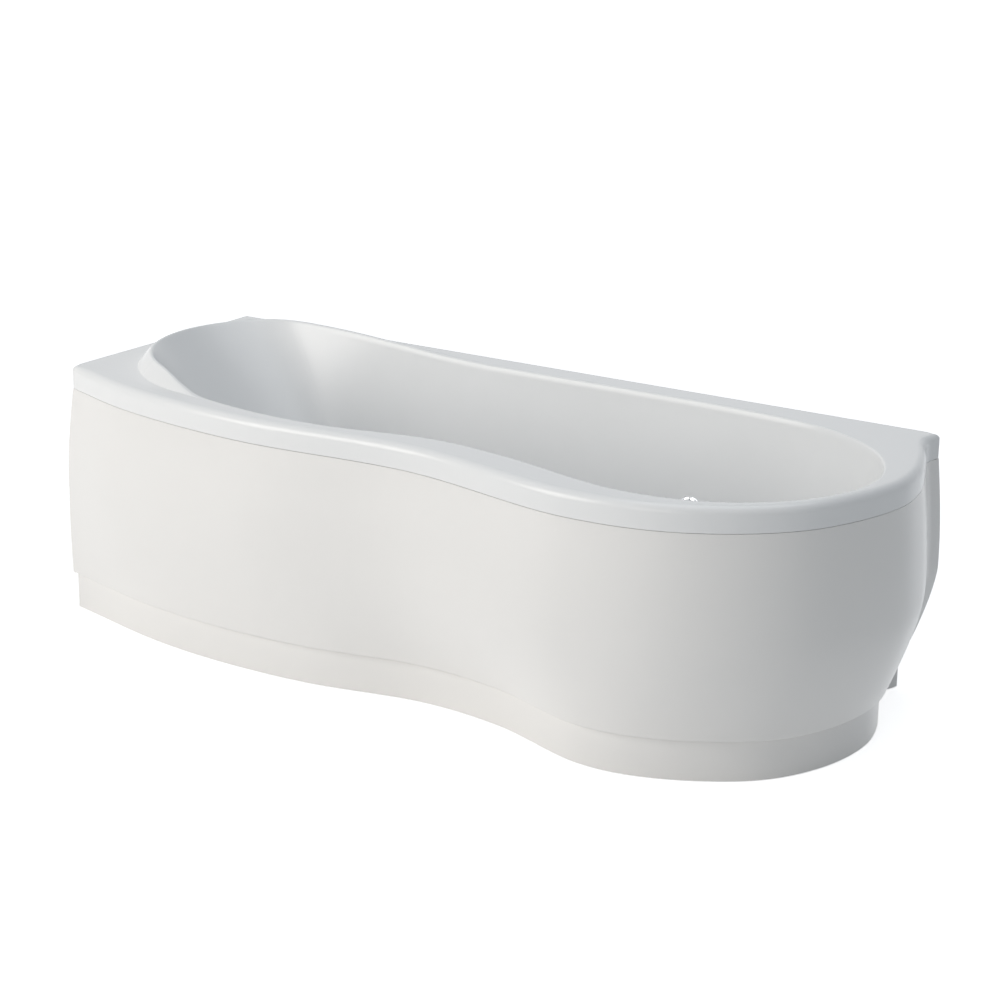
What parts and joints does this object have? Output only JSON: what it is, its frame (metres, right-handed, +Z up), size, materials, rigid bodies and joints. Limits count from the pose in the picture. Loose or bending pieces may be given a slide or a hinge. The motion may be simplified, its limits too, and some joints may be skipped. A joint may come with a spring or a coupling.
{
  "type": "corner jetted bathtub",
  "caption": "Left-hand corner bath with a wave front, raised head ring, hydromassage jets, pump, pop-up waste and a levelling steel frame behind a bulged panel.",
  "frame": {"origin": "bottom centre of the bounding box, on the floor", "axes": "+X along the back wall from the head end to the foot end, +Y towards the back wall, +Z up"},
  "size_m": [1.8186, 0.7654, 0.572],
  "materials": {
    "acrylic": "glossy white sanitary acrylic",
    "panel_white": "satin warm white acrylic panel",
    "board": "raw chipboard",
    "zinc": "zinc-plated steel",
    "chromed_plastic": "chrome-plated plastic",
    "chrome": "polished chrome",
    "white_plastic": "white pipe plastic",
    "grey_plastic": "grey pipe plastic",
    "pump_black": "moulded black plastic",
    "motor_grey": "painted cast aluminium",
    "rotor": "shaft with its impeller and fan",
    "rubber": "black sheathing"
  },
  "bodies": {
    "bath": {"tub_shell": "acrylic", "front_panel": "panel_white", "toe_kick": "panel_white", "base_board": "board", "frame": "zinc", "foot_1": "zinc", "foot_2": "zinc", "foot_3": "zinc", "foot_4": "zinc", "foot_5": "zinc", "foot_6": "zinc", "panel_clip_1": "zinc", "panel_clip_2": "zinc", "panel_clip_3": "zinc", "panel_clip_4": "zinc", "jet_body_1": "white_plastic", "jet_body_2": "white_plastic", "jet_body_3": "white_plastic", "jet_body_4": "white_plastic", "jet_body_5": "white_plastic", "jet_body_6": "white_plastic", "flow_manifold": "white_plastic", "air_manifold": "white_plastic", "suction_body": "white_plastic", "suction_cover": "chromed_plastic", "suction_pipe": "white_plastic", "discharge_pipe": "white_plastic", "pump_plate": "zinc", "pump_motor": "motor_grey", "pump_volute": "pump_black", "fan_hood": "pump_black", "drain_flange": "chrome", "drain_body": "grey_plastic", "trap": "grey_plastic", "overflow_body": "grey_plastic", "overflow_pipe": "grey_plastic", "plug_cable": "rubber", "air_valve_body": "chromed_plastic", "air_feed": "white_plastic", "button_body": "chromed_plastic", "button_hose": "grey_plastic", "control_box": "pump_black", "motor_lead": "rubber"},
    "jet_face_1": {"jet_face_1": "chromed_plastic"},
    "jet_nozzle_1": {"jet_nozzle_1": "chromed_plastic"},
    "jet_face_2": {"jet_face_2": "chromed_plastic"},
    "jet_nozzle_2": {"jet_nozzle_2": "chromed_plastic"},
    "jet_face_3": {"jet_face_3": "chromed_plastic"},
    "jet_nozzle_3": {"jet_nozzle_3": "chromed_plastic"},
    "jet_face_4": {"jet_face_4": "chromed_plastic"},
    "jet_nozzle_4": {"jet_nozzle_4": "chromed_plastic"},
    "jet_face_5": {"jet_face_5": "chromed_plastic"},
    "jet_nozzle_5": {"jet_nozzle_5": "chromed_plastic"},
    "jet_face_6": {"jet_face_6": "chromed_plastic"},
    "jet_nozzle_6": {"jet_nozzle_6": "chromed_plastic"},
    "pump_rotor": {"pump_rotor": "rotor"},
    "overflow_knob": {"overflow_knob": "chrome"},
    "drain_plug": {"drain_plug": "chrome"},
    "air_valve_knob": {"air_valve_knob": "chromed_plastic"},
    "start_button": {"start_button": "white_plastic"}
  },
  "joints": [
    {"name": "jet_face_1_turn", "type": "hinge", "parent": "bath", "child": "jet_face_1", "pos_m": [-0.16609, -0.23, 0.31783], "axis": [-0.1053, 0.984, 0.1434], "range_deg": [0, 90]},
    {"name": "jet_nozzle_1_tilt", "type": "hinge", "parent": "jet_face_1", "child": "jet_nozzle_1", "pos_m": [-0.16609, -0.23, 0.31783], "axis": [-0.9943, -0.1064, 0], "range_deg": [-15, 15]},
    {"name": "jet_face_2_turn", "type": "hinge", "parent": "bath", "child": "jet_face_2", "pos_m": [0.31327, -0.2343, 0.31783], "axis": [0.258, 0.9578, 0.1265], "range_deg": [0, 90]},
    {"name": "jet_nozzle_2_tilt", "type": "hinge", "parent": "jet_face_2", "child": "jet_nozzle_2", "pos_m": [0.31327, -0.2343, 0.31783], "axis": [-0.9656, 0.2601, 0], "range_deg": [-15, 15]},
    {"name": "jet_face_3_turn", "type": "hinge", "parent": "bath", "child": "jet_face_3", "pos_m": [0.78663, -0.07488, 0.31783], "axis": [-0.909, 0.3605, 0.2091], "range_deg": [0, 90]},
    {"name": "jet_nozzle_3_tilt", "type": "hinge", "parent": "jet_face_3", "child": "jet_nozzle_3", "pos_m": [0.78663, -0.07488, 0.31783], "axis": [-0.3686, -0.9296, 0], "range_deg": [-15, 15]},
    {"name": "jet_face_4_turn", "type": "hinge", "parent": "bath", "child": "jet_face_4", "pos_m": [0.76699, 0.12885, 0.31783], "axis": [-0.848, -0.4979, 0.1815], "range_deg": [0, 90]},
    {"name": "jet_nozzle_4_tilt", "type": "hinge", "parent": "jet_face_4", "child": "jet_nozzle_4", "pos_m": [0.76699, 0.12885, 0.31783], "axis": [0.5063, -0.8624, 0], "range_deg": [-15, 15]},
    {"name": "jet_face_5_turn", "type": "hinge", "parent": "bath", "child": "jet_face_5", "pos_m": [0.32098, 0.28979, 0.31783], "axis": [-0.0185, -0.9911, 0.1317], "range_deg": [0, 90]},
    {"name": "jet_nozzle_5_tilt", "type": "hinge", "parent": "jet_face_5", "child": "jet_nozzle_5", "pos_m": [0.32098, 0.28979, 0.31783], "axis": [0.9998, -0.0187, 0], "range_deg": [-15, 15]},
    {"name": "jet_face_6_turn", "type": "hinge", "parent": "bath", "child": "jet_face_6", "pos_m": [-0.13831, 0.29204, 0.31783], "axis": [0.01, -0.9925, 0.1221], "range_deg": [0, 90]},
    {"name": "jet_nozzle_6_tilt", "type": "hinge", "parent": "jet_face_6", "child": "jet_nozzle_6", "pos_m": [-0.13831, 0.29204, 0.31783], "axis": [0.9999, 0.0101, 0], "range_deg": [-15, 15]},
    {"name": "pump_rotor_spin", "type": "hinge", "parent": "bath", "child": "pump_rotor", "pos_m": [-0.71854, 0.04746, 0.172], "axis": [0, -1, 0], "continuous": true},
    {"name": "overflow_knob_turn", "type": "hinge", "parent": "bath", "child": "overflow_knob", "pos_m": [0.07383, -0.20979, 0.455], "axis": [0.0377, 0.9904, 0.1331], "range_deg": [0, 90]},
    {"name": "drain_plug_lift", "type": "slide", "parent": "bath", "child": "drain_plug", "axis": [0, 0, 1], "range_m": [0, 0.01]},
    {"name": "air_valve_knob_turn", "type": "hinge", "parent": "bath", "child": "air_valve_knob", "pos_m": [-0.30101, -0.25749, 0.465], "axis": [0.0385, 0.9858, 0.1632], "range_deg": [0, 180]},
    {"name": "start_button_press", "type": "slide", "parent": "bath", "child": "start_button", "axis": [0.2301, -0.9654, -0.1225], "range_m": [0, 0.003], "stiffness_N_per_m": 300, "springref_m": -0.001}
  ],
  "couplings": [
    {"joint": "drain_plug_lift", "follows": "overflow_knob_turn", "m_per_rad": 0.006366}
  ]
}
